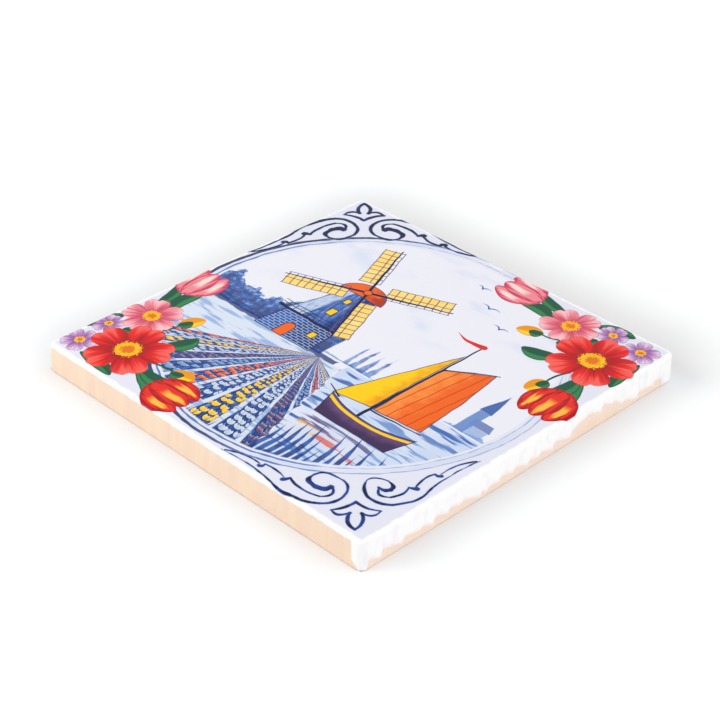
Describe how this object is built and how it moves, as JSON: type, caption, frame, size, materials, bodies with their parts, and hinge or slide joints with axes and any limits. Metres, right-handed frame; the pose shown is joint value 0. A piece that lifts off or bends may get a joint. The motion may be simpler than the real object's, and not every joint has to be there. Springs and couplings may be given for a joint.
{
  "type": "decorative wall tile",
  "caption": "Square glazed earthenware tile with a rolled rim, leaning walls and a keyed back, decorated with a blue roundel and painted corners, for setting on a wall or standing by itself.",
  "frame": {"origin": "middle of the back, on the plane that the tile rests on", "axes": "+Z out of the painted face, +Y towards the top of the picture, +X towards its right"},
  "size_m": [0.1, 0.1, 0.007],
  "materials": {
    "glazed_earthenware": "glossy white tin glaze, hand painted, over bare cream biscuit on the walls and back"
  },
  "bodies": {
    "root": {"tile": "glazed_earthenware"}
  },
  "joints": []
}
